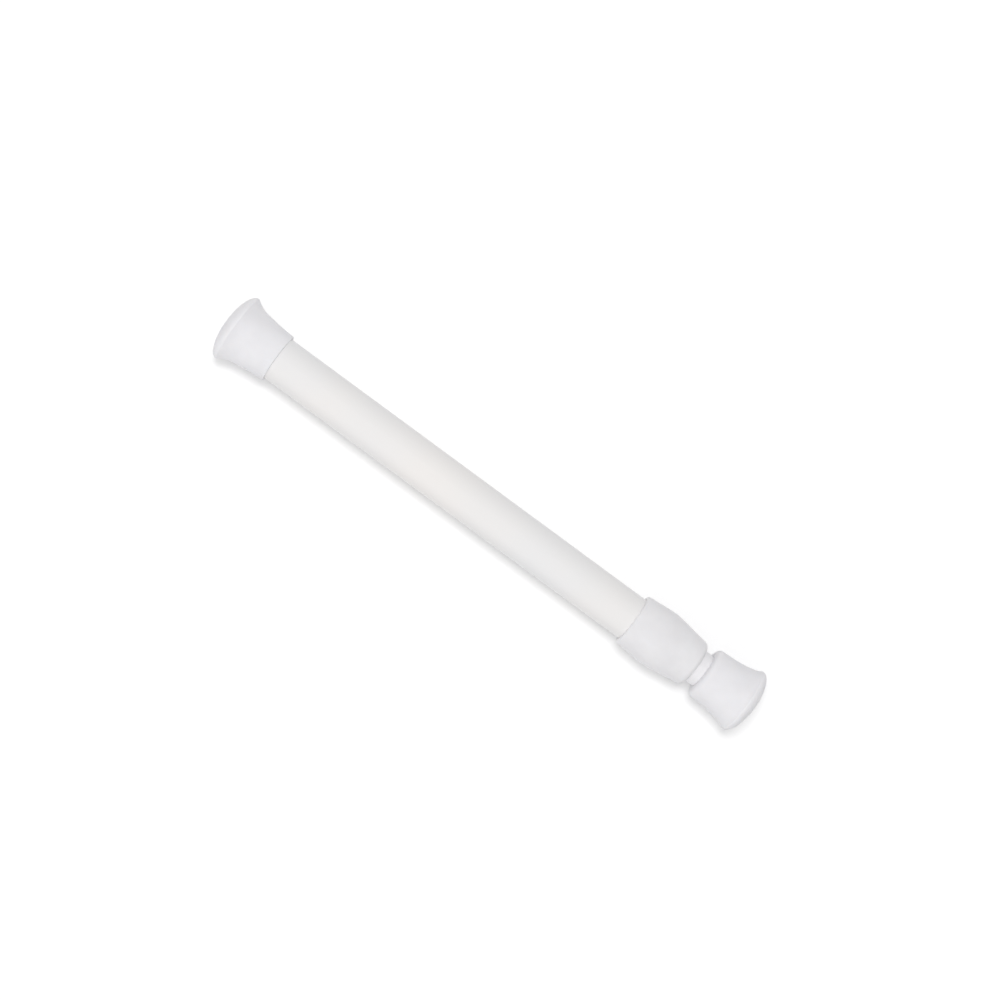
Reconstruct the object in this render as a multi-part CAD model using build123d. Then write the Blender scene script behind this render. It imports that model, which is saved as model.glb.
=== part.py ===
"""Extendable curtain rod: two telescoping white steel tubes between soft feet.

The rod wedges across a window reveal. Pulling sets its reach, and a clockwise turn of the thin tube locks it.
A spring in the thin tube then presses both feet against the walls.

Frame: millimetres. +X runs along the rod, from the fixed foot to the sliding foot. +Z is up.
The origin is the middle of the fixed foot's flat wall face. The rod is modelled closed, 180 mm long.
"""

import os
from math import acos, ceil, cos, degrees, pi, sin

from build123d import *

# Reach and fits
reach_length = 90.0
spring_stroke = 18.0
slide_play = 0.1
end_play = 0.1
cut_margin = 1.0

# Tubes
outer_tube_diameter = 13.0
outer_tube_wall = 0.5
inner_tube_diameter = 10.0
inner_tube_wall = 0.4

# Rolled-in end of the outer tube, which stops the inner tube's bead
lip_bend_radius = 0.9
lip_clearance = 0.3

# Swaged bead and punched dimples of the inner tube
bead_width = 1.6
bead_height = 0.6
dimple_count = 3
dimple_diameter = 2.4
dimple_tip_diameter = 1.0
dimple_depth = 0.45

# Feet
foot_end_wall = 3.6
foot_rim_setback = 3.4
foot_dome_shaved = 0.15
foot_lip_radius = 0.45
foot_lip_angle = 50.0
foot_flare_reach = 3.1
foot_waist_reach = 6.7
foot_neck_slope = 0.05
foot_mouth_round = 0.35
fixed_foot_length = 17.3
fixed_foot_neck_diameter = 14.6
fixed_foot_waist_diameter = 15.8
fixed_foot_flare_diameter = 17.0
fixed_foot_rim_diameter = 20.2
sliding_foot_length = 17.3
sliding_foot_neck_diameter = 15.3
sliding_foot_waist_diameter = 16.0
sliding_foot_flare_diameter = 17.2
sliding_foot_rim_diameter = 19.6
closed_gap = 2.6

# Collar
collar_length = 21.8
collar_socket_depth = 12.2
collar_mouth_diameter = 14.6
collar_mouth_round_length = 1.7
collar_shoulder_diameter = 15.9
collar_crest_diameter = 17.1
collar_crest_setback = 9.6
collar_crest_blend = 4.0
collar_nose_diameter = 13.9
collar_nose_round = 1.5
collar_mouth_lean = 0.35
collar_nose_lean = 0.15

# Guide ring and end bush
ring_length = 7.5
ring_slit = 1.2
ring_edge = 0.3
bush_flange_thickness = 1.2
bush_flange_reach = 0.45
bush_stem_length = 8.0
plug_groove_width = 2.6
plug_groove_depth = 0.6

# Lock screw
tip_clearance = 0.3
tip_length = 0.9
thread_pitch = 2.5
thread_depth = 0.6
thread_core_diameter = 4.4
thread_root_width = 1.5
thread_crest_width = 0.7
thread_play = 0.12
thread_root_sunk = 0.2
thread_run_out = 1.2
journal_diameter = 5.8
screw_flange_diameter = 9.2
screw_flange_thickness = 2.0
shank_across_flats = 4.0
shank_spare = 0.4
stake_diameter = 5.4
stake_height = 0.8

# Tip clip
clip_thickness = 0.7
clip_diameter = 7.4
clip_seat_diameter = 3.4
clip_opening = 3.0

# Expander and wedge nut
lock_turn_count = 1
expander_length = 20.4
expander_hub_length = 4.0
expander_mouth_bore = 9.9
expander_waist_bore = 7.5
slot_count = 4
slot_width = 1.4
slot_length = 13.5
grip_groove_count = 5
grip_groove_pitch = 2.0
grip_groove_width = 0.8
grip_groove_depth = 0.3
nut_length = 7.0
nut_key_count = 2

# Spring, its follower and its seat
spring_length = 40.0
spring_wire = 0.85
spring_mean_diameter = 7.6
spring_active_coils = 8
spring_closed_coils = 1
spring_coil_gap = 0.05
spring_grind = 0.25
points_per_coil = 12
spigot_diameter = 6.2
spigot_length = 3.0
follower_thickness = 2.5
seat_length = 8.0

# Radii worked out from the sizes above
outer_tube_radius = outer_tube_diameter / 2
outer_tube_bore_radius = outer_tube_radius - outer_tube_wall
inner_tube_radius = inner_tube_diameter / 2
inner_tube_bore_radius = inner_tube_radius - inner_tube_wall
lip_bore_radius = inner_tube_radius + lip_clearance
sliding_radius = outer_tube_bore_radius - slide_play
thread_core_radius = thread_core_diameter / 2
thread_crest_radius = thread_core_radius + thread_depth
shank_corner_radius = shank_across_flats / 2 / cos(pi / 6)

# Places along the rod, from the fixed foot's face
outer_tube_start = foot_end_wall
tip_x = outer_tube_start + tip_clearance
clip_x = tip_x + tip_length
thread_x = clip_x + clip_thickness
nut_x = thread_x + end_play
lock_travel = lock_turn_count * thread_pitch
expander_x = nut_x + lock_travel
expander_end = expander_x + expander_length
thread_end = expander_x + nut_length + thread_run_out
thread_start = thread_x + thread_root_width / 2
thread_length = thread_end - thread_root_width / 2 - thread_start
screw_flange_x = expander_end + end_play
screw_flange_end = screw_flange_x + screw_flange_thickness
bush_x = screw_flange_end + spring_stroke + shank_spare
inner_tube_start = bush_x + bush_flange_thickness
ring_x = inner_tube_start + end_play
bead_x = ring_x + ring_length + end_play
stop_x = bead_x + bead_width + reach_length + end_play
outer_tube_end = stop_x + lip_bend_radius
stem_end = inner_tube_start + bush_stem_length
follower_x = stem_end + end_play
spring_x = follower_x + follower_thickness
seat_x = spring_x + spring_length
collar_x = outer_tube_end - collar_socket_depth
collar_end = collar_x + collar_length
sliding_foot_x = collar_end + closed_gap
rod_length = sliding_foot_x + sliding_foot_length
inner_tube_end = rod_length - foot_end_wall


def turned(outline):
    """A solid turned about the rod's axis from a closed outline of (x, radius)."""
    return revolve(Plane.XZ * make_face(outline), Axis.X)


def turned_corners(*corners):
    """A solid turned about the rod's axis from the corners (x, radius) of its half section."""
    return turned(Polyline(*corners, close=True))


def disc(start, end, radius):
    """A plain cylinder on the rod's axis."""
    return turned_corners((start, 0), (end, 0), (end, radius), (start, radius))


def ring(start, end, bore_radius, radius):
    """A plain sleeve on the rod's axis."""
    return turned_corners((start, bore_radius), (end, bore_radius), (end, radius), (start, radius))


def hexagon_bar(start, end, corner_radius):
    """A hexagonal bar on the rod's axis."""
    section = Plane.YZ.offset(start) * RegularPolygon(corner_radius, side_count=6)
    return extrude(section, end - start)


def around(solid, count):
    """Copies of a solid, evenly spaced about the rod's axis."""
    return [Rot(360 / count * n, 0, 0) * solid for n in range(count)]


def foot(length, bore_radius, neck_diameter, waist_diameter, flare_diameter, rim_diameter):
    """A soft moulded foot with a domed end, a thin lip and a trumpet flare. Its wall face is at x = 0."""
    rim_radius = rim_diameter / 2
    neck_radius = neck_diameter / 2
    dome_height = foot_rim_setback + foot_dome_shaved
    flare = (foot_rim_setback + foot_flare_reach, flare_diameter / 2)
    waist = (foot_rim_setback + foot_waist_reach, waist_diameter / 2)
    neck = (length - foot_mouth_round, neck_radius)
    dome = EllipticalCenterArc(
        (foot_rim_setback, 0),
        dome_height,
        rim_radius,
        start_angle=90,
        arc_size=90 - degrees(acos(foot_rim_setback / dome_height)),
    )
    lip = CenterArc((foot_rim_setback, rim_radius - foot_lip_radius), foot_lip_radius, 90, -foot_lip_angle)
    outline = [
        Line((0, 0), dome @ 1),
        dome,
        lip,
        Spline(lip @ 1, flare, waist, neck, tangents=[lip % 1, (1, -foot_neck_slope)]),
        RadiusArc(neck, (length, neck_radius - foot_mouth_round), foot_mouth_round),
        Polyline(
            (length, neck_radius - foot_mouth_round),
            (length, bore_radius),
            (foot_end_wall, bore_radius),
            (foot_end_wall, 0),
            (0, 0),
        ),
    ]
    return turned(outline)


def fixed_foot():
    """The foot pushed over the outer tube's end."""
    return foot(
        fixed_foot_length,
        outer_tube_radius,
        fixed_foot_neck_diameter,
        fixed_foot_waist_diameter,
        fixed_foot_flare_diameter,
        fixed_foot_rim_diameter,
    )


def sliding_foot():
    """The stockier foot pushed over the inner tube's end, facing the other way."""
    facing_left = foot(
        sliding_foot_length,
        inner_tube_radius,
        sliding_foot_neck_diameter,
        sliding_foot_waist_diameter,
        sliding_foot_flare_diameter,
        sliding_foot_rim_diameter,
    )
    return Pos(rod_length, 0, 0) * Rot(0, 180, 0) * facing_left


def outer_tube():
    """A thin tube whose far end is rolled in to a lip."""
    bend_x = outer_tube_end - lip_bend_radius
    bend_centre_radius = outer_tube_radius - lip_bend_radius
    inner_bend = lip_bend_radius - outer_tube_wall
    lip_face = outer_tube_end - outer_tube_wall
    outline = [
        Line((outer_tube_start, outer_tube_radius), (bend_x, outer_tube_radius)),
        RadiusArc((bend_x, outer_tube_radius), (outer_tube_end, bend_centre_radius), lip_bend_radius),
        Polyline(
            (outer_tube_end, bend_centre_radius),
            (outer_tube_end, lip_bore_radius),
            (lip_face, lip_bore_radius),
            (lip_face, bend_centre_radius),
        ),
        RadiusArc((lip_face, bend_centre_radius), (bend_x, outer_tube_bore_radius), -inner_bend),
        Polyline(
            (bend_x, outer_tube_bore_radius),
            (outer_tube_start, outer_tube_bore_radius),
            (outer_tube_start, outer_tube_radius),
        ),
    ]
    return turned(outline)


def dimples(tube, x):
    """The tube with punched dimples in a ring at x, pressed into the groove of the plug inside it."""
    flare = dimple_diameter - dimple_tip_diameter
    upright = (Align.CENTER, Align.CENTER, Align.MIN)
    punch = Cone(dimple_tip_diameter / 2, dimple_tip_diameter / 2 + flare, 2 * dimple_depth, align=upright)
    bulge_tip = dimple_tip_diameter / 2 + inner_tube_wall
    bulge = Cone(bulge_tip, bulge_tip + flare, 2 * dimple_depth, align=upright)
    middle_radius = inner_tube_bore_radius + inner_tube_wall / 2
    inside = disc(x - dimple_diameter, x + dimple_diameter, middle_radius)
    tip_height = inner_tube_radius - dimple_depth
    for bump in around(Pos(x, 0, tip_height - inner_tube_wall) * bulge, dimple_count):
        tube += bump & inside
    for hollow in around(Pos(x, 0, tip_height) * punch, dimple_count):
        tube -= hollow
    return tube


def inner_tube():
    """The thin tube: a swaged bead keeps the guide ring, and two rings of dimples hold its plugs."""
    bead_middle = bead_x + bead_width / 2
    bead_end = bead_x + bead_width
    outline = [
        Line((inner_tube_start, inner_tube_radius), (bead_x, inner_tube_radius)),
        ThreePointArc(
            (bead_x, inner_tube_radius),
            (bead_middle, inner_tube_radius + bead_height),
            (bead_end, inner_tube_radius),
        ),
        Polyline(
            (bead_end, inner_tube_radius),
            (inner_tube_end, inner_tube_radius),
            (inner_tube_end, inner_tube_bore_radius),
            (bead_end, inner_tube_bore_radius),
        ),
        ThreePointArc(
            (bead_end, inner_tube_bore_radius),
            (bead_middle, inner_tube_bore_radius + bead_height),
            (bead_x, inner_tube_bore_radius),
        ),
        Polyline(
            (bead_x, inner_tube_bore_radius),
            (inner_tube_start, inner_tube_bore_radius),
            (inner_tube_start, inner_tube_radius),
        ),
    ]
    tube = turned(outline)
    tube = dimples(tube, inner_tube_start + bush_stem_length / 2)
    return dimples(tube, seat_x + seat_length / 2)


def collar():
    """The barrel-shaped sleeve that covers the outer tube's mouth and guides the inner tube."""
    mouth_radius = collar_mouth_diameter / 2
    crest_x = collar_x + collar_crest_setback
    shoulder = (collar_x + collar_mouth_round_length, collar_shoulder_diameter / 2)
    nose = (collar_end - collar_nose_round, collar_nose_diameter / 2)
    nose_tip = (collar_end, collar_nose_diameter / 2 - collar_nose_round)
    crest_radius = collar_crest_diameter / 2
    rise = (crest_radius - shoulder[1]) / (crest_x - shoulder[0])
    fall = (crest_radius - nose[1]) / (nose[0] - crest_x)
    half_blend = collar_crest_blend / 2
    blend_start = (crest_x - half_blend, crest_radius - rise * half_blend)
    blend_end = (crest_x + half_blend, crest_radius - fall * half_blend)
    guide_radius = inner_tube_radius + slide_play
    outline = [
        Line((collar_x, outer_tube_radius), (collar_x, mouth_radius)),
        Spline((collar_x, mouth_radius), shoulder, tangents=[(collar_mouth_lean, 1), (1, rise)]),
        Line(shoulder, blend_start),
        Spline(blend_start, blend_end, tangents=[(1, rise), (1, -fall)]),
        Line(blend_end, nose),
        Spline(nose, nose_tip, tangents=[(1, -fall), (collar_nose_lean, -1)]),
        Polyline(
            nose_tip,
            (collar_end, guide_radius),
            (outer_tube_end, guide_radius),
            (outer_tube_end, outer_tube_radius),
            (collar_x, outer_tube_radius),
        ),
    ]
    return turned(outline)


def guide_ring():
    """A split plastic ring on the inner tube that runs in the outer tube's bore."""
    ring_end = ring_x + ring_length
    bore_radius = inner_tube_radius + slide_play
    body = turned_corners(
        (ring_x, bore_radius),
        (ring_x, sliding_radius - ring_edge),
        (ring_x + ring_edge, sliding_radius),
        (ring_end - ring_edge, sliding_radius),
        (ring_end, sliding_radius - ring_edge),
        (ring_end, bore_radius),
    )
    slit = Box(ring_length + 2 * cut_margin, ring_slit, sliding_radius * 2)
    return body - Pos((ring_x + ring_end) / 2, 0, sliding_radius) * slit


def grooved_plug(start, end):
    """A plug pressed into the inner tube, grooved for the dimples that hold it."""
    middle = (start + end) / 2
    groove_radius = inner_tube_bore_radius - plug_groove_depth
    groove = ring(
        middle - plug_groove_width / 2,
        middle + plug_groove_width / 2,
        groove_radius,
        inner_tube_radius,
    )
    return disc(start, end, inner_tube_bore_radius) - groove


def end_bush():
    """The flanged bush in the inner tube's end, with a hexagonal bore that turns the lock screw."""
    flange = disc(bush_x, inner_tube_start, inner_tube_radius + bush_flange_reach)
    body = flange + grooved_plug(inner_tube_start, stem_end)
    bore_corner_radius = shank_corner_radius + slide_play / cos(pi / 6)
    return body - hexagon_bar(bush_x - cut_margin, stem_end + cut_margin, bore_corner_radius)


def thread_ridge(start, length, play):
    """A right-hand trapezoidal ridge wound on the screw's core, made fatter and taller by the play."""
    path = Helix(thread_pitch, length, thread_core_radius)
    sunk = thread_core_radius - thread_root_sunk
    half_root = thread_root_width / 2 + play
    half_crest = thread_crest_width / 2 + play
    section = Plane.XZ * make_face(
        Polyline(
            (sunk, -half_root),
            (thread_core_radius, -half_root),
            (thread_crest_radius + play, -half_crest),
            (thread_crest_radius + play, half_crest),
            (thread_core_radius, half_root),
            (sunk, half_root),
            close=True,
        )
    )
    ridge = sweep(section, path=path, is_frenet=True)
    return Pos(start, 0, 0) * Rot(0, 90, 0) * ridge


def lock_screw():
    """The screw: clip groove, coarse thread, expander journal, flange, hexagonal shank and staked end."""
    shank_end = spring_x + spigot_length
    seat_radius = clip_seat_diameter / 2
    body = disc(tip_x, thread_end, thread_core_radius)
    body -= ring(clip_x, thread_x, seat_radius, thread_crest_radius)
    body += thread_ridge(thread_start, thread_length, 0)
    body += disc(thread_end, screw_flange_x, journal_diameter / 2)
    body += disc(screw_flange_x, screw_flange_end, screw_flange_diameter / 2)
    body += hexagon_bar(screw_flange_end, shank_end, shank_corner_radius)
    stake = turned(
        [
            Polyline((shank_end, stake_diameter / 2), (shank_end, 0), (shank_end + stake_height, 0)),
            EllipticalCenterArc((shank_end, 0), stake_height, stake_diameter / 2, start_angle=0, arc_size=90),
        ]
    )
    return body + stake


def tip_clip():
    """The spring-steel clip that keeps the wedge nut on the screw."""
    body = ring(clip_x, thread_x, clip_seat_diameter / 2, clip_diameter / 2)
    mouth = Pos((clip_x + thread_x) / 2, 0, clip_diameter / 2) * Box(
        clip_thickness * 2, clip_opening, clip_diameter
    )
    return body - mouth


def expander():
    """The slotted sleeve that the wedge nut spreads against the outer tube's bore."""
    waist_x = expander_x + nut_length
    hub_x = expander_end - expander_hub_length
    body = turned_corners(
        (expander_x, expander_mouth_bore / 2),
        (expander_x, sliding_radius),
        (expander_end, sliding_radius),
        (expander_end, journal_diameter / 2 + slide_play),
        (hub_x, journal_diameter / 2 + slide_play),
        (hub_x, expander_waist_bore / 2),
        (waist_x, expander_waist_bore / 2),
    )
    slot = Pos(expander_x + (slot_length - cut_margin) / 2, 0, sliding_radius) * Box(
        slot_length + cut_margin, slot_width, sliding_radius * 2
    )
    for cut in around(slot, slot_count):
        body -= cut
    for n in range(grip_groove_count):
        groove_x = expander_x + grip_groove_pitch * (n + 1)
        half_width = grip_groove_width / 2
        body -= turned_corners(
            (groove_x - half_width, sliding_radius),
            (groove_x, sliding_radius - grip_groove_depth),
            (groove_x + half_width, sliding_radius),
            (groove_x, sliding_radius + grip_groove_depth),
        )
    return body


def wedge_nut():
    """The tapered nut, keyed in the expander's slots, that climbs the thread as the screw turns."""
    nut_end = nut_x + nut_length
    wide_radius = expander_mouth_bore / 2 - slide_play
    narrow_radius = expander_waist_bore / 2 - slide_play
    cone = turned_corners((nut_x, 0), (nut_x, wide_radius), (nut_end, narrow_radius), (nut_end, 0))
    key_top = sliding_radius - grip_groove_depth - slide_play
    key = Pos((nut_x + nut_end) / 2, 0, key_top / 2) * Box(nut_length, slot_width - 2 * slide_play, key_top)
    for rib in around(key, nut_key_count):
        cone += rib
    run_in = thread_pitch * ceil(lock_turn_count)
    tap = disc(nut_x - run_in, nut_end + run_in, thread_core_radius + thread_play)
    tap += thread_ridge(thread_start - run_in, thread_length + run_in, thread_play)
    return cone - tap


def spring_follower():
    """The flanged cup on the shank's end that pushes the spring."""
    body = disc(follower_x, spring_x, inner_tube_bore_radius - slide_play)
    body += disc(spring_x, spring_x + spigot_length, spigot_diameter / 2)
    bore = hexagon_bar(follower_x - cut_margin, spring_x + spigot_length + cut_margin, shank_corner_radius)
    return body - bore


def spring_path():
    """The middle of the spring's wire: open coils between a closed coil at each end."""
    radius = spring_mean_diameter / 2
    turns = spring_active_coils + 2 * spring_closed_coils
    closed_pitch = spring_wire + spring_coil_gap
    path_length = spring_length - spring_wire + 2 * spring_grind
    open_pitch = (path_length - 2 * spring_closed_coils * closed_pitch) / spring_active_coils
    points = []
    for n in range(turns * points_per_coil + 1):
        turn = n / points_per_coil
        closed_turns = min(turn, spring_closed_coils) + max(0, turn - turns + spring_closed_coils)
        rise = closed_turns * closed_pitch + (turn - closed_turns) * open_pitch
        angle = 2 * pi * turn
        x = spring_x + spring_wire / 2 - spring_grind + rise
        points.append((x, radius * cos(angle), radius * sin(angle)))
    return Spline(*points)


def spring():
    """A compression spring with closed, ground ends, at its length in the closed rod."""
    path = spring_path()
    section = Plane(origin=path @ 0, z_dir=path % 0) * Circle(spring_wire / 2)
    wire = sweep(section, path=path, is_frenet=True)
    return wire & disc(spring_x, seat_x, inner_tube_bore_radius)


def spring_seat():
    """The plug, held by dimples, that the spring pushes against."""
    body = grooved_plug(seat_x, seat_x + seat_length)
    return body + disc(seat_x - spigot_length, seat_x, spigot_diameter / 2)


pieces = {
    "outer_tube": outer_tube(),
    "inner_tube": inner_tube(),
    "fixed_foot": fixed_foot(),
    "sliding_foot": sliding_foot(),
    "collar": collar(),
    "guide_ring": guide_ring(),
    "end_bush": end_bush(),
    "lock_screw": lock_screw(),
    "tip_clip": tip_clip(),
    "expander": expander(),
    "wedge_nut": wedge_nut(),
    "spring_follower": spring_follower(),
    "spring": spring(),
    "spring_seat": spring_seat(),
}

os.makedirs("parts", exist_ok=True)
for name, piece in pieces.items():
    export_step(piece, f"parts/{name}.step")
print("closed length", round(rod_length, 3), "open length", round(rod_length + reach_length, 3))
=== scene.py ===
"""Dresses the extendable curtain rod and sets it in a small white studio.

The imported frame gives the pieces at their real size. This script gives each surface its finish, and
builds the soft feet, the collar and the spring again as finer meshes in the same places.

Sizes are in millimetres, as on a drawing, and MM turns them to metres. +X runs along the rod, from the
fixed foot to the sliding foot, and +Z is up.
"""

import logging
import math
from collections.abc import Callable
from dataclasses import dataclass
from enum import Enum
from functools import cached_property

import bpy
from mathutils import Matrix, Vector


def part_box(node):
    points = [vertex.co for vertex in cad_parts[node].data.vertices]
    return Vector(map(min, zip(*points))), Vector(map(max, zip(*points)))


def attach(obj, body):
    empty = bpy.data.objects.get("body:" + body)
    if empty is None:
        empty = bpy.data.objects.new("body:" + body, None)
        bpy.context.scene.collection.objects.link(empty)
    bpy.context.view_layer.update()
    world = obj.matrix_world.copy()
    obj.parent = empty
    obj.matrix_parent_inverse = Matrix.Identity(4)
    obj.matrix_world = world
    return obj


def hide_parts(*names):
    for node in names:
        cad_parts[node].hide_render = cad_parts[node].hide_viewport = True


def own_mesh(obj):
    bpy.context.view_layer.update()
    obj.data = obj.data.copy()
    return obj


MM = 0.001
SAME_POINT = 1e-6  # Two points of an outline that are nearer than this, in millimetres, are one.
WHITE = (1.0, 1.0, 1.0, 1.0)
LOG = logging.getLogger("curtain_rod")

# A Mix node has sockets for each kind of data. These are the ones for colours.
MIX_DARK, MIX_LIGHT, MIX_RESULT = 6, 7, 2

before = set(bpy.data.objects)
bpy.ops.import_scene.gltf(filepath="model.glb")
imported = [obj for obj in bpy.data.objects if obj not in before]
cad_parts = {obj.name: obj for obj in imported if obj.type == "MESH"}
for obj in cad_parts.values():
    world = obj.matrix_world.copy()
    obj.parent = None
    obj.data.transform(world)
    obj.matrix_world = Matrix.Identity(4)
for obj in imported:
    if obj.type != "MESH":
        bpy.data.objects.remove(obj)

Point = tuple[float, float]
Triple = tuple[float, float, float]
Corners = tuple[int, ...]
RadiusRule = Callable[[float, float, float], float]


class Facing(Enum):
    """Which way a piece looks along the rod."""

    RIGHT = 1
    LEFT = -1


class Slot(Enum):
    """The names of the record's material slots for the feet, the collar and the spring steel."""

    FOOT = "foot"
    COLLAR = "collar"
    SPRING_STEEL = "spring_steel"


def linear(colour: str) -> tuple[float, float, float, float]:
    """Turns an sRGB colour to linear light.

    Args:
        colour: The colour as six hex digits after a hash sign.

    Returns:
        Linear red, green, blue and an alpha of 1.
    """
    channels = [int(colour[i:i + 2], 16) / 255 for i in (1, 3, 5)]
    red, green, blue = (c / 12.92 if c <= 0.04045 else ((c + 0.055) / 1.055) ** 2.4 for c in channels)
    return red, green, blue, 1.0


def add_node(
    tree: bpy.types.NodeTree,
    kind: str,
    settings: dict[str | int, object] | None = None,
    links: dict[str | int, bpy.types.NodeSocket] | None = None,
) -> bpy.types.Node:
    """Adds one node with its settings and its incoming links.

    Args:
        tree: The material's or the world's node tree.
        kind: The node's type, such as ShaderNodeTexNoise.
        settings: Values for the node's own properties, or else for its inputs by name or number.
        links: The sockets that feed the node's inputs, by input name or number.

    Returns:
        The new node.
    """
    node = tree.nodes.new(kind)
    for name, value in (settings or {}).items():
        if isinstance(name, str) and hasattr(node, name):
            setattr(node, name, value)
        else:
            node.inputs[name].default_value = value
    for name, socket in (links or {}).items():
        tree.links.new(socket, node.inputs[name])
    return node


def empty_material(name: str) -> tuple[bpy.types.Material, bpy.types.NodeTree]:
    """Makes a material with no nodes.

    Args:
        name: The material's name.

    Returns:
        The material and its node tree.
    """
    material = bpy.data.materials.new(name)
    material.use_nodes = True
    material.node_tree.nodes.clear()
    return material, material.node_tree


@dataclass(frozen=True)
class Relief:
    """An irregular pattern in a surface, sized in millimetres.

    Attributes:
        grain: The width of one grain.
        depth: The height from its lows to its highs, or 0 where it only tints.
        stretch: How many times longer a grain is along X, Y and Z.
        detail: How many finer layers it has.
        layer_strength: How strong each finer layer is against the one before.
        middle: The part of the noise that is spread from 0 to 1.
    """

    grain: float
    depth: float = 0.0
    stretch: Triple = (1.0, 1.0, 1.0)
    detail: float = 2.0
    layer_strength: float = 0.55
    middle: tuple[float, float] = (0.3, 0.7)

    def draw(self, tree: bpy.types.NodeTree, place: bpy.types.NodeSocket) -> bpy.types.NodeSocket:
        """Draws the pattern.

        Args:
            tree: The material's node tree.
            place: The position in the piece's own frame, in metres.

        Returns:
            The pattern's value, spread from 0 to 1.
        """
        scale = tuple(1 / (self.grain * MM * s) for s in self.stretch)
        mapped = add_node(tree, "ShaderNodeMapping", {"Scale": scale}, {"Vector": place})
        settings = {"Scale": 1.0, "Detail": self.detail, "Roughness": self.layer_strength}
        noise = add_node(tree, "ShaderNodeTexNoise", settings, {"Vector": mapped.outputs[0]})
        spread = dict(zip(("From Min", "From Max"), self.middle))
        return add_node(tree, "ShaderNodeMapRange", spread, {"Value": noise.outputs[0]}).outputs[0]


@dataclass(frozen=True)
class Finish:
    """What every surface of the rod has: a body colour that drifts, a fine relief and a slow one.

    Attributes:
        name: The real material and how its surface was made.
        dark: The body colour's darker end.
        light: Its lighter end.
        ior: The refractive index. A metal keeps the default.
        roughness: The lowest and highest roughness, which follow the fine relief.
        drift: The pattern between the two colours.
        fine: The surface's tooth.
        slow: The waves under it.
        metallic: 1 for bare metal.
        translucency: How much of the light enters the body and leaves it elsewhere.
        bleed: How far that light travels, in millimetres.
        bleed_tint: How far its red, green and blue travel against each other.
    """

    name: str
    dark: str
    light: str
    ior: float
    roughness: tuple[float, float]
    drift: Relief
    fine: Relief
    slow: Relief
    metallic: float = 0.0
    translucency: float = 0.0
    bleed: float = 0.5
    bleed_tint: Triple = (1.0, 0.95, 0.9)

    def build(self) -> bpy.types.Material:
        """Builds the body colour, the relief and the shader.

        Returns:
            The finished material.
        """
        material, tree = empty_material(self.name)
        place = add_node(tree, "ShaderNodeTexCoord").outputs["Object"]
        drift, fine, slow = (relief.draw(tree, place) for relief in (self.drift, self.fine, self.slow))
        ends = {MIX_DARK: linear(self.dark), MIX_LIGHT: linear(self.light)}
        colour = add_node(tree, "ShaderNodeMix", {"data_type": "RGBA", **ends}, {0: drift})
        low, high = self.roughness
        gloss = add_node(tree, "ShaderNodeMapRange", {"To Min": low, "To Max": high}, {"Value": fine})
        waves = add_node(tree, "ShaderNodeBump", {"Distance": self.slow.depth * MM}, {"Height": slow})
        links = {"Height": fine, "Normal": waves.outputs[0]}
        tooth = add_node(tree, "ShaderNodeBump", {"Distance": self.fine.depth * MM}, links)
        shader = add_node(
            tree,
            "ShaderNodeBsdfPrincipled",
            {
                "IOR": self.ior,
                "Metallic": self.metallic,
                "Subsurface Weight": self.translucency,
                "Subsurface Radius": self.bleed_tint,
                "Subsurface Scale": self.bleed * MM,
            },
            {
                "Base Color": colour.outputs[MIX_RESULT],
                "Roughness": gloss.outputs[0],
                "Normal": tooth.outputs[0],
            },
        )
        add_node(tree, "ShaderNodeOutputMaterial", links={"Surface": shader.outputs[0]})
        return material


@dataclass(frozen=True)
class SoftPvc(Finish):
    """Plasticised PVC, injection moulded in a spark-eroded tool: the two feet.

    It gives the eye a cool white with a dull sheen, soft shading where light bleeds through, and an even
    tooth. The real tooth is about 0.1 mm wide, and it is drawn at 0.3 mm so that it shows.
    """

    name: str = "soft_pvc_moulded"
    dark: str = "#ebeaed"
    light: str = "#f0eff2"
    ior: float = 1.53
    roughness: tuple[float, float] = (0.42, 0.54)
    drift: Relief = Relief(7.0)
    fine: Relief = Relief(0.3, 0.012, detail=3.0)
    slow: Relief = Relief(3.5, 0.05)
    translucency: float = 0.4
    bleed: float = 1.2


@dataclass(frozen=True)
class MouldedPolypropylene(Finish):
    """Filled white polypropylene, injection moulded in a fine-ground tool: the collar.

    It gives the eye a clean cool white, harder and smoother than the feet, with the slow waves that a
    thick wall gets as it shrinks. The grinding lines run round it. They are 0.1 mm apart, and drawn at
    0.3 mm so that they show.
    """

    name: str = "polypropylene_moulded"
    dark: str = "#e8e7e9"
    light: str = "#edecee"
    ior: float = 1.49
    roughness: tuple[float, float] = (0.32, 0.42)
    drift: Relief = Relief(6.0)
    fine: Relief = Relief(0.3, 0.004, stretch=(1.0, 8.0, 8.0))
    slow: Relief = Relief(5.0, 0.05, detail=1.0)
    translucency: float = 0.4
    bleed: float = 1.2


@dataclass(frozen=True)
class BakedEnamel(Finish):
    """Warm white enamel, sprayed on thin welded steel tube and baked: the thick tube.

    It gives the eye a glossier white than the plastics, warmer here and cooler there along the tube, with
    the slight orange peel of a sprayed coat. The peel's real cells are 1 to 2 mm wide.
    """

    name: str = "enamel_baked"
    dark: str = "#ebebec"
    light: str = "#f0edeb"
    ior: float = 1.52
    roughness: tuple[float, float] = (0.3, 0.36)
    drift: Relief = Relief(45.0)
    fine: Relief = Relief(1.4, 0.01, detail=1.0)
    slow: Relief = Relief(9.0, 0.02, stretch=(2.0, 1.0, 1.0), detail=1.0)


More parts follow.
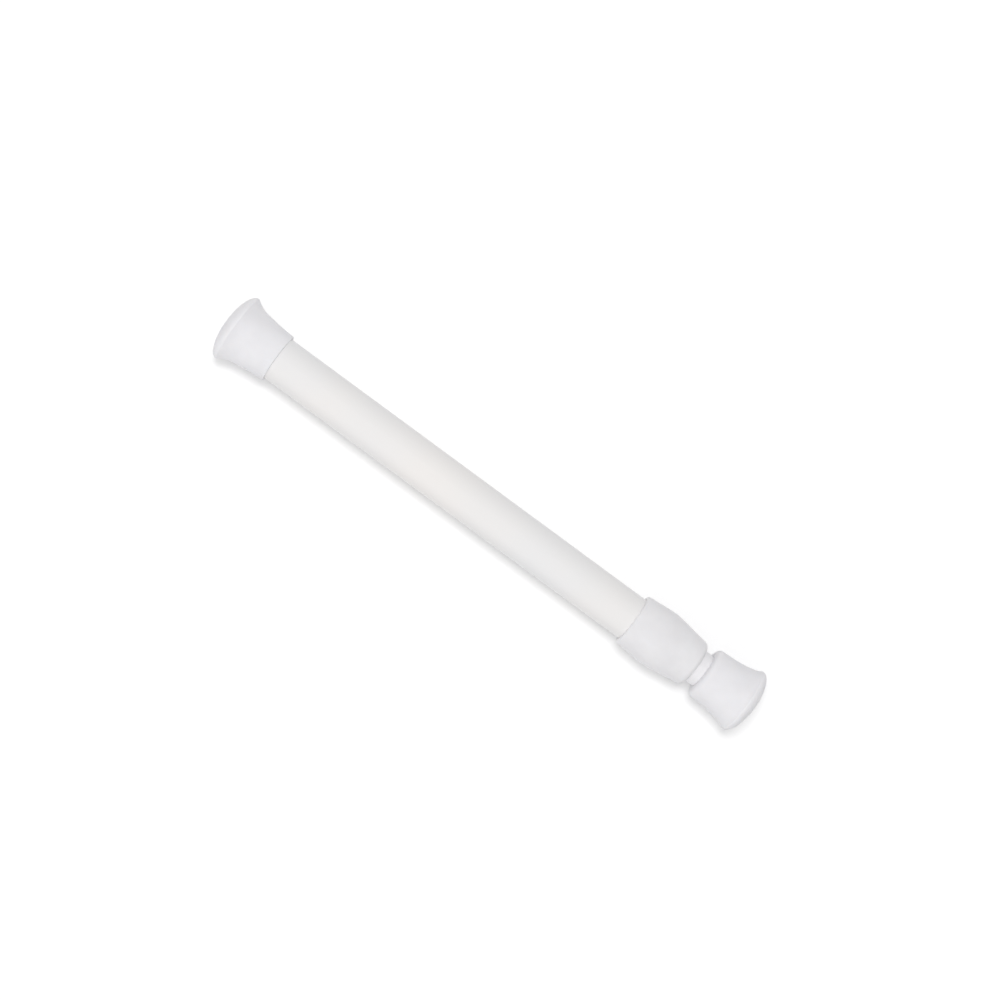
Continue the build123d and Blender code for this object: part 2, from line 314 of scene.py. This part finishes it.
@dataclass(frozen=True)
class RubbedEnamel(BakedEnamel):
    """The same enamel on the thin tube, which the collar rubs as it slides.

    It gives the eye a cooler white than the thick tube's, with hairlines along it. They are 0.05 mm wide,
    and drawn at 0.2 mm so that they show.
    """

    name: str = "enamel_baked_and_rubbed"
    dark: str = "#ecebed"
    light: str = "#f0eff1"
    roughness: tuple[float, float] = (0.32, 0.42)
    fine: Relief = Relief(0.2, 0.002, stretch=(80.0, 1.0, 1.0))


@dataclass(frozen=True)
class MouldedAcetal(Finish):
    """Natural acetal, injection moulded: the guide ring.

    It gives the eye an ivory white with a waxy satin skin.
    """

    name: str = "acetal_moulded"
    dark: str = "#e6e2d6"
    light: str = "#efece2"
    ior: float = 1.48
    roughness: tuple[float, float] = (0.3, 0.4)
    drift: Relief = Relief(3.0)
    fine: Relief = Relief(0.3, 0.004)
    slow: Relief = Relief(2.5, 0.02)
    translucency: float = 0.15


@dataclass(frozen=True)
class MouldedNylon(Finish):
    """White nylon, injection moulded: the bush, the screw, the nut, the spring's follower and its seat.

    It gives the eye a slightly grey white with faint flow lines round the bore.
    """

    name: str = "nylon_moulded"
    dark: str = "#dddddb"
    light: str = "#e6e6e4"
    ior: float = 1.53
    roughness: tuple[float, float] = (0.38, 0.48)
    drift: Relief = Relief(1.2, stretch=(1.0, 4.0, 4.0))
    fine: Relief = Relief(0.3, 0.006)
    slow: Relief = Relief(2.0, 0.02)
    translucency: float = 0.2


@dataclass(frozen=True)
class MouldedRubber(Finish):
    """Grey thermoplastic rubber, injection moulded: the expander that grips the thick tube's bore.

    It gives the eye a dull dark grey with a dry skin.
    """

    name: str = "thermoplastic_rubber_moulded"
    dark: str = "#434346"
    light: str = "#4b4b4e"
    ior: float = 1.5
    roughness: tuple[float, float] = (0.55, 0.68)
    drift: Relief = Relief(2.0)
    fine: Relief = Relief(0.25, 0.01)
    slow: Relief = Relief(2.0, 0.02)


@dataclass(frozen=True)
class DrawnSteel(Finish):
    """Bright drawn spring steel with a film of oil: the spring and the tip clip.

    It gives the eye a clear grey metal with the die's lines. They are 0.02 mm apart, and drawn at 0.12 mm
    so that they show.
    """

    name: str = "spring_steel_drawn"
    dark: str = "#a4a5a9"
    light: str = "#c6c7ca"
    ior: float = 1.5
    roughness: tuple[float, float] = (0.24, 0.36)
    drift: Relief = Relief(0.6, stretch=(1.0, 4.0, 4.0))
    fine: Relief = Relief(0.12, 0.004, stretch=(1.0, 5.0, 5.0), detail=3.0)
    slow: Relief = Relief(1.5, 0.01)
    metallic: float = 1.0


@dataclass(frozen=True)
class StudioPaper:
    """White paper under the object.

    It is brighter to the camera than to the object, so that the open floor is plain white and only the
    nearest shadow shows.

    Attributes:
        name: The material's name.
        colour: The paper as the object sees it.
        near_glow: The light that it adds to the camera's view near the object.
        far_glow: What it adds far away, where the lamps don't reach.
        near: Where the glow starts to rise, in millimetres from the origin.
        far: Where it has risen.
    """

    name: str = "studio_paper"
    colour: str = "#e0e0e0"
    near_glow: float = 0.12
    far_glow: float = 1.0
    near: float = 220.0
    far: float = 700.0

    def build(self) -> bpy.types.Material:
        """Builds the paper with its glow.

        Returns:
            The finished material.
        """
        material, tree = empty_material(self.name)
        plain = add_node(tree, "ShaderNodeBsdfDiffuse", {"Color": linear(self.colour)})
        white = add_node(tree, "ShaderNodeBsdfDiffuse", {"Color": WHITE})
        place = add_node(tree, "ShaderNodeTexCoord").outputs["Object"]
        away = add_node(tree, "ShaderNodeVectorMath", {"operation": "LENGTH"}, {0: place})
        reach = {"From Min": self.near * MM, "From Max": self.far * MM}
        glows = {"To Min": self.near_glow, "To Max": self.far_glow}
        rise = add_node(tree, "ShaderNodeMapRange", reach | glows, {"Value": away.outputs["Value"]})
        glow = add_node(tree, "ShaderNodeEmission", links={"Strength": rise.outputs[0]})
        bright = add_node(tree, "ShaderNodeAddShader", links={0: white.outputs[0], 1: glow.outputs[0]})
        links = {0: seen_directly(tree), 1: plain.outputs[0], 2: bright.outputs[0]}
        mix = add_node(tree, "ShaderNodeMixShader", links=links)
        add_node(tree, "ShaderNodeOutputMaterial", links={"Surface": mix.outputs[0]})
        return material


def seen_directly(tree: bpy.types.NodeTree) -> bpy.types.NodeSocket:
    """Tells what the camera sees, straight or through gloss and glass, from what only lights the object.

    Args:
        tree: The node tree of the floor or the world.

    Returns:
        An output that is 1 for camera, glossy and transmission rays.
    """
    path = add_node(tree, "ShaderNodeLightPath")
    seen = path.outputs["Is Camera Ray"]
    for ray in ("Is Glossy Ray", "Is Transmission Ray"):
        links = {0: seen, 1: path.outputs[ray]}
        seen = add_node(tree, "ShaderNodeMath", {"operation": "MAXIMUM"}, links).outputs[0]
    return seen


class Outline:
    """The half section of a turned piece, as points (x, radius) in millimetres."""

    def __init__(self, *points: Point) -> None:
        """Starts the outline.

        Args:
            points: The first corners, joined by straight lines.
        """
        self.points: list[Point] = list(points)

    def line(self, *points: Point) -> "Outline":
        """Goes on in straight lines.

        Args:
            points: The next corners.

        Returns:
            The outline itself.
        """
        self.points.extend(points)
        return self

    def arc(self, centre: Point, radii: Point, start: float, end: float, steps: int) -> "Outline":
        """Goes on along part of an ellipse.

        Its first point is left out where the outline is already there.

        Args:
            centre: The ellipse's centre.
            radii: Its half axes along x and along the radius.
            start: The angle where the arc starts, in degrees from +x.
            end: The angle where it ends.
            steps: How many stretches it gets.

        Returns:
            The outline itself.
        """
        for n in range(steps + 1):
            angle = math.radians(start + (end - start) * n / steps)
            point = (centre[0] + radii[0] * math.cos(angle), centre[1] + radii[1] * math.sin(angle))
            if math.dist(point, self.points[-1]) > SAME_POINT:
                self.points.append(point)
        return self

    def curve(self, through: list[Point], leave: Point, arrive: Point, steps: int) -> "Outline":
        """Goes on along a smooth curve from the last point.

        Args:
            through: The points that it passes, the last of them its end.
            leave: Its direction at the start.
            arrive: Its direction at the end.
            steps: How many stretches each span gets.

        Returns:
            The outline itself.
        """
        knots = [Vector(self.points[-1]), *map(Vector, through)]
        spans = [(b - a).length for a, b in zip(knots, knots[1:])]
        slopes = [Vector(leave).normalized()]
        for n in range(1, len(spans)):
            before = (knots[n] - knots[n - 1]) / spans[n - 1]
            after = (knots[n + 1] - knots[n]) / spans[n]
            slopes.append((before * spans[n] + after * spans[n - 1]) / (spans[n - 1] + spans[n]))
        slopes.append(Vector(arrive).normalized())
        for n, span in enumerate(spans):
            for t in (step / steps for step in range(1, steps + 1)):
                start = knots[n] * (2 * t**3 - 3 * t**2 + 1) + slopes[n] * span * (t**3 - 2 * t**2 + t)
                end = knots[n + 1] * (3 * t**2 - 2 * t**3) + slopes[n + 1] * span * (t**3 - t**2)
                self.points.append(tuple(start + end))
        return self

    def placed(self, start: float, facing: Facing) -> "Outline":
        """Puts the outline in its place along the rod.

        Args:
            start: Where its x = 0 goes.
            facing: The way that its +x goes.

        Returns:
            A new outline, which still runs clockwise.
        """
        points = [(start + x * facing.value, r) for x, r in self.points]
        return Outline(*(points if facing is Facing.RIGHT else reversed(points)))


@dataclass(frozen=True)
class PartingLine:
    """The fine raised line on a moulded piece, where the two halves of its tool met.

    Attributes:
        angles: Where it runs, in degrees round the rod from +Y.
        height: How far it stands proud, in millimetres.
        width: Its half width, in millimetres.
        offsets: The columns of the mesh that draw it, in degrees to each side.
    """

    angles: tuple[float, ...] = (0.0, 180.0)
    height: float = 0.05
    width: float = 0.14
    offsets: tuple[float, ...] = (0.3, 0.6, 1.0, 1.5, 2.2)

    def height_at(self, radius: float, angle: float) -> float:
        """Gives how far the surface stands proud.

        Args:
            radius: The surface's radius there, in millimetres.
            angle: The place round the rod, in degrees.

        Returns:
            The height, in millimetres.
        """
        nearest = min(abs((angle - a + 180) % 360 - 180) for a in self.angles)
        across = math.radians(nearest) * radius
        return self.height * math.exp(-((across / self.width) ** 2))

    def columns(self, count: int) -> list[float]:
        """Spaces a turned mesh's columns, closer together across the line.

        Args:
            count: How many even columns the mesh has.

        Returns:
            The columns' angles, in degrees.
        """
        even = [360 * (n + 0.5) / count for n in range(count)]
        close = [a + side * o for a in self.angles for o in (0.0, *self.offsets) for side in (-1, 1)]
        reach = max(self.offsets) + 180 / count
        clear = [e for e in even if min(abs((e - a + 180) % 360 - 180) for a in self.angles) > reach]
        return sorted({angle % 360 for angle in clear + close})


def mesh_piece(name: str, points: list[Triple], faces: list[Corners], sharp: float) -> bpy.types.Object:
    """Makes a mesh object from points in millimetres.

    Args:
        name: The piece's name.
        points: The vertices, in the rod's frame.
        faces: The faces' corners.
        sharp: The angle in degrees past which an edge stays sharp.

    Returns:
        The linked object, smooth shaded.
    """
    mesh = bpy.data.meshes.new(name)
    mesh.from_pydata([tuple(c * MM for c in p) for p in points], [], faces)
    mesh.polygons.foreach_set("use_smooth", [True] * len(mesh.polygons))
    mesh.set_sharp_from_angle(angle=math.radians(sharp))
    mesh.update()
    piece = bpy.data.objects.new(name, mesh)
    bpy.context.scene.collection.objects.link(piece)
    return piece


def turned_piece(
    name: str,
    outline: Outline,
    columns: list[float],
    radius_rule: RadiusRule,
    sleeve: bool,
    sharp: float = 35.0,
) -> bpy.types.Object:
    """Turns an outline about the rod's axis into a closed mesh.

    Args:
        name: The piece's name.
        outline: The half section, running clockwise when x is to the right and the radius is up.
        columns: The mesh's columns, in degrees round the rod from +Y.
        radius_rule: Gives a vertex's own radius from its x, radius and angle.
        sleeve: Whether the last point joins the first. Otherwise both lie on the axis.
        sharp: The angle in degrees past which an edge stays sharp.

    Returns:
        The piece.
    """
    points: list[Triple] = []
    rings: list[list[int]] = []
    for x, r in outline.points:
        start = len(points)
        if r == 0:
            points.append((x, 0.0, 0.0))
            rings.append([start] * len(columns))
            continue
        for angle in columns:
            own, turn = radius_rule(x, r, angle), math.radians(angle)
            points.append((x, own * math.cos(turn), own * math.sin(turn)))
        rings.append(list(range(start, len(points))))
    following = rings[1:] + rings[:1] if sleeve else rings[1:]
    faces: list[Corners] = []
    for near, far in zip(rings, following):
        for n in range(len(columns)):
            m = (n + 1) % len(columns)
            faces.append(tuple(dict.fromkeys((near[n], near[m], far[m], far[n]))))
    return mesh_piece(name, points, faces, sharp)


def dress(piece: bpy.types.Object, finish: bpy.types.Material, note: str) -> None:
    """Gives a piece its finish and reports it.

    Args:
        piece: A new piece, or a node of the frame.
        finish: Its material.
        note: What the piece is.
    """
    materials = piece.data.materials
    if not materials:
        materials.append(finish)
    for index in range(len(materials)):
        materials[index] = finish
    LOG.info("%s: %s, %s, %d faces", piece.name, note, finish.name, len(piece.data.polygons))


@dataclass
class Foot:
    """A soft foot: shallow domed face, thin lip, trumpet flare and a mouth that grips the tube.

    Attributes:
        node: The node that it replaces.
        body: The body that carries it.
        mouth: The way that its mouth looks.
        length: From the wall face to the mouth. All sizes are in millimetres.
        bore_radius: The grip on the tube.
        neck_radius: The outside at the mouth.
        waist_radius: The outside about half way from the rim to the mouth.
        flare_radius: The outside just behind the rim.
        rim_radius: The widest place.
        rim_setback: How far the rim lies behind the wall face.
        dome_shaved: How much of the dome its flat middle takes off.
        lip_radius: The lip's rounding.
        lip_angle: How far the rounding turns, in degrees.
        flare_reach: From the rim to flare_radius, along the rod.
        waist_reach: From the rim to waist_radius.
        neck_slope: The fall of the outside at the mouth.
        mouth_round: How far the mouth's rounded edge reaches along the rod and towards the axis.
        mouth_start: Where that rounding starts, in degrees from the rod's direction.
        mouth_chamfer: The chamfer at the bore.
        end_wall: From the wall face to the bore's end.
        gate_radius: The radius of the gate's round recess, in the middle of the wall face.
        gate_depth: How deep the recess is.
        gate_edge: How far its edges slope.
        stub_radius: The radius of the gate's stub in it.
        steps: How many stretches the dome, the lip, each span of the flare and the mouth get.
        columns: How many even columns the mesh has.
        parting: Its parting line.
    """

    node: str
    body: str
    mouth: Facing
    length: float
    bore_radius: float
    neck_radius: float
    waist_radius: float
    flare_radius: float
    rim_radius: float
    rim_setback: float = 3.4
    dome_shaved: float = 0.15
    lip_radius: float = 0.45
    lip_angle: float = 50.0
    flare_reach: float = 3.1
    waist_reach: float = 6.7
    neck_slope: float = 0.05
    mouth_round: Point = (0.35, 0.35)
    mouth_start: float = 80.0
    mouth_chamfer: float = 0.05
    end_wall: float = 3.6
    gate_radius: float = 1.1
    gate_depth: float = 0.12
    gate_edge: float = 0.1
    stub_radius: float = 0.45
    steps: tuple[int, int, int, int] = (28, 8, 14, 10)
    columns: int = 180
    parting: PartingLine = PartingLine()

    @cached_property
    def face_x(self) -> float:
        """The wall face's place along the rod, in millimetres."""
        low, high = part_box(self.node)
        return (low.x if self.mouth is Facing.RIGHT else high.x) / MM

    def outline(self) -> Outline:
        """Draws the half section, from the wall face's middle round the outside to the bore's end.

        Returns:
            The outline, with the wall face at x = 0 and the mouth towards +x.
        """
        height = self.rim_setback + self.dome_shaved
        edge = 180 - math.degrees(math.acos(self.rim_setback / height))
        lip_turn = math.radians(self.lip_angle)
        lip_centre = (self.rim_setback, self.rim_radius - self.lip_radius)
        neck = (self.length - self.mouth_round[0], self.neck_radius)
        flare = (self.rim_setback + self.flare_reach, self.flare_radius)
        waist = (self.rim_setback + self.waist_reach, self.waist_radius)
        leave = (math.sin(lip_turn), -math.cos(lip_turn))
        mouth_centre = (neck[0], neck[1] - self.mouth_round[1])
        dome_steps, lip_steps, flare_steps, mouth_steps = self.steps
        outline = Outline((self.gate_depth / 2, 0), (self.gate_depth / 2, self.stub_radius))
        outline.line((self.gate_depth, self.stub_radius + self.gate_edge))
        outline.line((self.gate_depth, self.gate_radius), (0, self.gate_radius + self.gate_edge))
        outline.arc((self.rim_setback, 0), (height, self.rim_radius), edge, 90, dome_steps)
        outline.arc(lip_centre, (self.lip_radius, self.lip_radius), 90, 90 - self.lip_angle, lip_steps)
        outline.curve([flare, waist, neck], leave, (1, -self.neck_slope), flare_steps)
        outline.arc(mouth_centre, self.mouth_round, self.mouth_start, 0, mouth_steps)
        outline.line((self.length, self.bore_radius + self.mouth_chamfer))
        outline.line((self.length - self.mouth_chamfer, self.bore_radius))
        return outline.line((self.end_wall, self.bore_radius), (self.end_wall, 0))

    def radius(self, x: float, r: float, angle: float) -> float:
        """Raises the parting line behind the rim, and lets it fade at the rim and at the mouth.

        Args:
            x: The point's place along the rod, in millimetres.
            r: Its radius.
            angle: Its place round the rod, in degrees.

        Returns:
            The radius with the line.
        """
        along = (x - self.face_x) * self.mouth.value
        if along < self.rim_setback or r < self.neck_radius - self.mouth_round[1]:
            return r
        under_rim = min(1.0, max(0.0, (self.rim_radius - r) / self.lip_radius))
        before_mouth = min(1.0, max(0.0, (self.length - along) / self.mouth_round[0]))
        return r + self.parting.height_at(r, angle) * under_rim * before_mouth

    def build(self, finish: bpy.types.Material) -> None:
        """Builds the foot where its node stands.

        Args:
            finish: The foot's material.
        """
        outline = self.outline().placed(self.face_x, self.mouth)
        columns = self.parting.columns(self.columns)
        piece = turned_piece(self.node + "_moulding", outline, columns, self.radius, sleeve=False)
        dress(piece, finish, "soft foot with its parting line and gate mark")
        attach(piece, self.body)
        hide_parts(self.node)


@dataclass
class Collar:
    """The barrel-shaped sleeve on the thick tube's end, which guides the thin tube.

    Attributes:
        node: The node that it replaces.
        body: The body that carries it.
        length: From its mouth, on the thick tube, to its nose. All sizes are in millimetres.
        socket_depth: How far it goes over the thick tube.
        socket_radius: The grip on the thick tube.
        guide_radius: The bore that the thin tube slides in.
        mouth_radius: The outside at the mouth.
        mouth_round_length: From the mouth to the shoulder.
        mouth_lean: How far the mouth's face leans, as a slope.
        shoulder_radius: The outside where the mouth's rounding ends.
        crest_radius: The radius at which the barrel's two slopes would meet.
        crest_setback: From the mouth to that place.
        crest_blend: How long the rounding between the slopes is.
        nose_radius: The outside where the nose's rounding starts.
        nose_round: How far that rounding reaches.
        nose_lean: How far the nose's face leans, as a slope.
        edge: The chamfer at the bore, and how far the parting line takes to fade.
        steps: How many stretches the mouth, the rise, the crest, the fall and the nose get.
        columns: How many even columns the mesh has.
        parting: Its parting line.
    """

    node: str = "collar"
    body: str = "outer"
    length: float = 21.8
    socket_depth: float = 12.2
    socket_radius: float = 6.5
    guide_radius: float = 5.1
    mouth_radius: float = 7.3
    mouth_round_length: float = 1.7
    mouth_lean: float = 0.35
    shoulder_radius: float = 7.95
    crest_radius: float = 8.55
    crest_setback: float = 9.6
    crest_blend: float = 4.0
    nose_radius: float = 6.95
    nose_round: float = 1.5
    nose_lean: float = 0.15
    edge: float = 0.1
    steps: tuple[int, int, int, int, int] = (12, 8, 12, 10, 12)
    columns: int = 180
    parting: PartingLine = PartingLine()

    def outline(self) -> Outline:
        """Draws the half section, from the mouth over the outside to the nose and back along the bore.

        Returns:
            The outline, with the mouth at x = 0 and the nose towards +x.
        """
        shoulder = (self.mouth_round_length, self.shoulder_radius)
        nose = (self.length - self.nose_round, self.nose_radius)
        rise = (self.crest_radius - shoulder[1]) / (self.crest_setback - shoulder[0])
        fall = (self.crest_radius - nose[1]) / (nose[0] - self.crest_setback)
        half = self.crest_blend / 2
        blend_start = (self.crest_setback - half, self.crest_radius - rise * half)
        blend_end = (self.crest_setback + half, self.crest_radius - fall * half)
        nose_end = (self.length, self.nose_radius - self.nose_round)
        outline = Outline((0, self.socket_radius), (0, self.mouth_radius))
        spans = (
            (shoulder, (self.mouth_lean, 1), (1, rise)),
            (blend_start, (1, rise), (1, rise)),
            (blend_end, (1, rise), (1, -fall)),
            (nose, (1, -fall), (1, -fall)),
            (nose_end, (1, -fall), (self.nose_lean, -1)),
        )
        for (end, leave, arrive), steps in zip(spans, self.steps):
            outline.curve([end], leave, arrive, steps)
        outline.line((self.length, self.guide_radius + self.edge))
        outline.line((self.length - self.edge, self.guide_radius))
        return outline.line((self.socket_depth, self.guide_radius), (self.socket_depth, self.socket_radius))

    def radius(self, x: float, r: float, angle: float) -> float:
        """Raises the parting line on the outside, and lets it fade over the crest and at the ends.

        Args:
            x: The point's place along the rod, in millimetres.
            r: Its radius.
            angle: Its place round the rod, in degrees.

        Returns:
            The radius with the line.
        """
        under_crest = min(1.0, max(0.0, (self.crest_radius - r) / self.edge))
        off_ends = min(1.0, max(0.0, (r - self.socket_radius) / self.edge))
        return r + self.parting.height_at(r, angle) * under_crest * off_ends

    def build(self, finish: bpy.types.Material) -> None:
        """Builds the collar where its node stands.

        Args:
            finish: The collar's material.
        """
        outline = self.outline().placed(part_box(self.node)[0].x / MM, Facing.RIGHT)
        columns = self.parting.columns(self.columns)
        piece = turned_piece("collar_moulding", outline, columns, self.radius, sleeve=True)
        dress(piece, finish, "barrel collar with its parting line")
        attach(piece, self.body)
        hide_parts(self.node)


@dataclass
class Tubes:
    """The two enamelled steel tubes, as the frame has them.

    Attributes:
        thick: The outer tube's node.
        thin: The inner tube's node.
    """

    thick: str = "outer_tube"
    thin: str = "inner_tube"

    def build(self) -> None:
        """Dresses both tubes."""
        dress(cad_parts[self.thick], BakedEnamel().build(), "thick tube")
        dress(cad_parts[self.thin], RubbedEnamel().build(), "thin tube")


@dataclass
class PressureSpring:
    """The compression spring in the thin tube, between its follower and its seat.

    Attributes:
        node: The node that it replaces.
        body: The body that carries it.
        joint: The joint that would shorten it. Not used.
        wire: The wire's diameter. All sizes are in millimetres.
        mean_radius: From the rod's axis to the middle of the wire.
        active_coils: How many coils spring.
        closed_coils: How many lie closed at each end.
        coil_gap: The gap between a closed coil and the next.
        stroke: How far it would shorten. Not used.
        steps_per_coil: How many stretches a coil gets.
        sides: How many sides the wire's section has.
    """

    node: str = "spring"
    body: str = "inner"
    joint: str = "spring_stroke"
    wire: float = 0.85
    mean_radius: float = 3.8
    active_coils: int = 8
    closed_coils: int = 1
    coil_gap: float = 0.05
    stroke: float = 18.0
    steps_per_coil: int = 36
    sides: int = 14

    def middle(self, start: float, length: float) -> list[tuple[Vector, Vector]]:
        """Works out the middle of the wire.

        Args:
            start: Where the spring starts along the rod.
            length: Its length at rest.

        Returns:
            Each point with the direction away from the rod's axis.
        """
        turns = self.active_coils + 2 * self.closed_coils
        closed_pitch = self.wire + self.coil_gap
        open_length = length - self.wire - 2 * self.closed_coils * closed_pitch
        places = []
        for n in range(turns * self.steps_per_coil + 1):
            turned = n / self.steps_per_coil
            closed = min(turned, self.closed_coils) + max(0.0, turned - turns + self.closed_coils)
            open_turns = (turned - closed) / self.active_coils
            x = start + self.wire / 2 + closed * closed_pitch + open_turns * open_length
            outward = Vector((0, math.cos(2 * math.pi * turned), math.sin(2 * math.pi * turned)))
            places.append((Vector((x, 0, 0)) + outward * self.mean_radius, outward))
        return places

    def build(self, finish: bpy.types.Material) -> None:
        """Builds the spring.

        Args:
            finish: The wire's material.
        """
        low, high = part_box(self.node)
        length = (high.x - low.x) / MM
        places = self.middle(low.x / MM, length)
        points: list[Triple] = []
        for n, (point, outward) in enumerate(places):
            along = places[min(n + 1, len(places) - 1)][0] - places[max(n - 1, 0)][0]
            across = along.cross(outward).normalized()
            for turn in (2 * math.pi * side / self.sides for side in range(self.sides)):
                away = outward * math.cos(turn) + across * math.sin(turn)
                points.append(tuple(point + away * self.wire / 2))
        first, last = range(self.sides), range(len(points) - self.sides, len(points))
        faces: list[Corners] = [tuple(reversed(first)), tuple(last)]
        for n in range(0, len(points) - self.sides, self.sides):
            for side in first:
                after = (side + 1) % self.sides
                faces.append((n + side, n + after, n + self.sides + after, n + self.sides + side))
        piece = mesh_piece("spring_wire", points, faces, sharp=50.0)
        dress(piece, finish, "spring with closed end coils")
        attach(piece, self.body)
        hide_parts(self.node)
        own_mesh(piece)


@dataclass
class TwistLock:
    """The lock, the guide ring and what holds the spring, inside the tubes, as the frame has them.

    Attributes:
        ring: The guide ring's node.
        nylon_pieces: The nodes of white nylon.
        expander: The rubber sleeve's node.
        clip: The steel clip's node.
    """

    ring: str = "guide_ring"
    nylon_pieces: tuple[str, ...] = ("end_bush", "lock_screw", "wedge_nut", "spring_follower", "spring_seat")
    expander: str = "expander"
    clip: str = "tip_clip"

    def build(self, steel: bpy.types.Material) -> None:
        """Dresses every inner piece.

        Args:
            steel: The tip clip's material.
        """
        nylon = MouldedNylon().build()
        dress(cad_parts[self.ring], MouldedAcetal().build(), "split guide ring")
        for node in self.nylon_pieces:
            dress(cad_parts[node], nylon, "inner moulding")
        dress(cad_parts[self.expander], MouldedRubber().build(), "slotted expander")
        dress(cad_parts[self.clip], steel, "open clip")


@dataclass(frozen=True)
class Softbox:
    """A soft square lamp that looks at a point.

    Attributes:
        name: The lamp's name.
        place: Where it hangs, in millimetres.
        aim: The point that it looks at.
        size: Its side, in millimetres.
        power: Its power, in watts.
    """

    name: str
    place: Triple
    aim: Triple
    size: float
    power: float

    def build(self) -> None:
        """Puts the lamp in the scene, out of the camera's sight and with no highlight of its own."""
        lamp = bpy.data.lights.new(self.name, "AREA")
        lamp.shape = "SQUARE"
        lamp.size = self.size * MM
        lamp.energy = self.power
        holder = bpy.data.objects.new(self.name, lamp)
        holder.location = Vector(self.place) * MM
        holder.rotation_euler = (Vector(self.aim) - Vector(self.place)).to_track_quat("-Z", "Y").to_euler()
        holder.visible_camera = False
        holder.visible_glossy = False
        bpy.context.scene.collection.objects.link(holder)


@dataclass
class Studio:
    """The camera, the lamps, the paper floor and the world.

    Attributes:
        frame_width: What the picture spans at the rod, in millimetres.
        distance: From the camera to the rod.
        above_x: The place along the rod that the camera stands over.
        tilt: How far the camera leans to -Y, in degrees.
        slant: How far the rod runs down to the right in the picture, in degrees.
        rod_middle: The place along the rod that centre_right and centre_up are of.
        centre_right: Where that place is in the picture, right of its middle.
        centre_up: Where it is above the middle.
        sensor: The camera's sensor width.
        clip_start: The nearest that the camera sees.
        floor_size: The paper's side.
        floor_nodes: The nodes that stand on the paper.
        ambient: The strength of the even light.
        lamps: The softboxes.
    """

    frame_width: float = 276.0
    distance: float = 550.0
    above_x: float = 69.0
    tilt: float = 8.0
    slant: float = 36.35
    rod_middle: float = 90.0
    centre_right: float = -2.33
    centre_up: float = -4.3
    sensor: float = 36.0
    clip_start: float = 10.0
    floor_size: float = 6000.0
    floor_nodes: tuple[str, ...] = ("fixed_foot", "sliding_foot")
    ambient: float = 0.54
    lamps: tuple[Softbox, ...] = (
        Softbox("overhead_key", place=(-20, 40, 850), aim=(90, 0, 0), size=260, power=2.87),
        Softbox("front_softbox", place=(60, -800, 330), aim=(90, 0, 0), size=600, power=1.25),
    )

    def camera(self) -> None:
        """Puts the camera over the rod, turned so that the rod runs down to the right."""
        lean = Matrix.Rotation(math.radians(self.tilt), 3, "X")
        back = lean @ Vector(((self.above_x - self.rod_middle) / self.distance, 0, 1)).normalized()
        along = (Vector((1, 0, 0)) - back.x * back).normalized()
        slant = math.radians(self.slant)
        right = along * math.cos(slant) + back.cross(along) * math.sin(slant)
        up = back.cross(right)
        aim = Vector((self.rod_middle, 0, 0)) - right * self.centre_right - up * self.centre_up
        data = bpy.data.cameras.new("camera")
        data.sensor_width = self.sensor
        data.lens = self.sensor * self.distance / self.frame_width
        data.clip_start = self.clip_start * MM
        camera = bpy.data.objects.new("camera", data)
        facing = Matrix((right, up, back)).transposed().to_4x4()
        camera.matrix_world = Matrix.Translation((aim + back * self.distance) * MM) @ facing
        bpy.context.scene.collection.objects.link(camera)
        bpy.context.scene.camera = camera

    def floor(self) -> None:
        """Lays the paper under the feet."""
        level = min(corner.z for node in self.floor_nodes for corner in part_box(node)) / MM
        half = self.floor_size / 2
        corners = [(-half, -half, level), (half, -half, level), (half, half, level), (-half, half, level)]
        floor = mesh_piece("paper_floor", corners, [(0, 1, 2, 3)], sharp=30.0)
        floor.data.materials.append(StudioPaper().build())

    def world(self) -> None:
        """Makes a world that is white to the camera and an even light to the object."""
        world = bpy.data.worlds.new("studio_world")
        world.use_nodes = True
        tree = world.node_tree
        tree.nodes.clear()
        even = add_node(tree, "ShaderNodeBackground", {"Color": WHITE, "Strength": self.ambient})
        plain = add_node(tree, "ShaderNodeBackground", {"Color": WHITE, "Strength": 1.0})
        links = {0: seen_directly(tree), 1: even.outputs[0], 2: plain.outputs[0]}
        mix = add_node(tree, "ShaderNodeMixShader", links=links)
        add_node(tree, "ShaderNodeOutputWorld", links={"Surface": mix.outputs[0]})
        bpy.context.scene.world = world

    def build(self) -> None:
        """Builds the whole studio."""
        self.camera()
        self.floor()
        self.world()
        for lamp in self.lamps:
            lamp.build()
        bpy.context.scene.view_settings.view_transform = "Standard"


def main() -> None:
    """Builds the studio, then the rod from its fixed foot to its sliding foot."""
    logging.basicConfig(level=logging.INFO, format="%(message)s")
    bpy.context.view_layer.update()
    Studio().build()
    soft_pvc = SoftPvc().build()
    steel = DrawnSteel().build()
    Foot(
        node="fixed_foot",
        body="outer",
        mouth=Facing.RIGHT,
        length=17.3,
        bore_radius=6.5,
        neck_radius=7.3,
        waist_radius=7.9,
        flare_radius=8.5,
        rim_radius=10.1,
    ).build(soft_pvc)
    Tubes().build()
    Collar().build(MouldedPolypropylene().build())
    TwistLock().build(steel)
    PressureSpring().build(steel)
    Foot(
        node="sliding_foot",
        body="inner",
        mouth=Facing.LEFT,
        length=17.3,
        bore_radius=5.0,
        neck_radius=7.65,
        waist_radius=8.0,
        flare_radius=8.6,
        rim_radius=9.8,
        mouth_round=(1.4, 2.3),
    ).build(soft_pvc)


if __name__ == "__main__":
    main()
